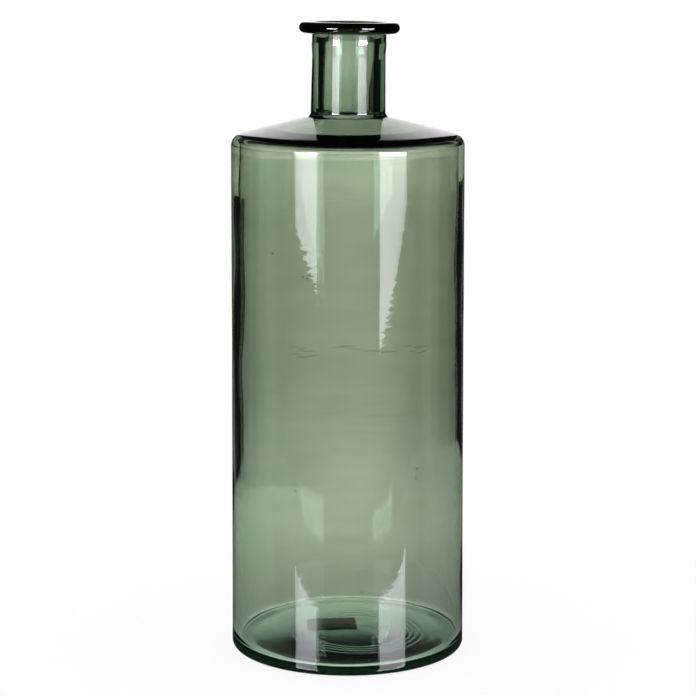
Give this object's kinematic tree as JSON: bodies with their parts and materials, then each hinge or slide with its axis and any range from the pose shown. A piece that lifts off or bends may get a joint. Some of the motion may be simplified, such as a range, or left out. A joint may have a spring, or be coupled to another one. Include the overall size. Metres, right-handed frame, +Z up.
{
  "type": "bottle vase",
  "caption": "Tall straight-sided bottle vase in thick grey-green recycled glass, with a shallow sloped shoulder, a short narrow neck and a wide rounded lip.",
  "frame": {"origin": "centre of the standing face, on the surface that the vase stands on", "axes": "+Z up the vase's axis and out of its mouth; +X right and +Y away in the picture's view"},
  "size_m": [0.1498, 0.1498, 0.4],
  "materials": {
    "glass": "glossy grey-green recycled glass with soft waves and a few seeds",
    "label_paper": "matt blank paper"
  },
  "bodies": {
    "root": {"base_disc": "glass", "heel_ring": "glass", "body_wall": "glass", "shoulder": "glass", "neck": "glass", "neck_collar": "glass", "lip_ring": "glass", "base_label": "label_paper"}
  },
  "joints": []
}
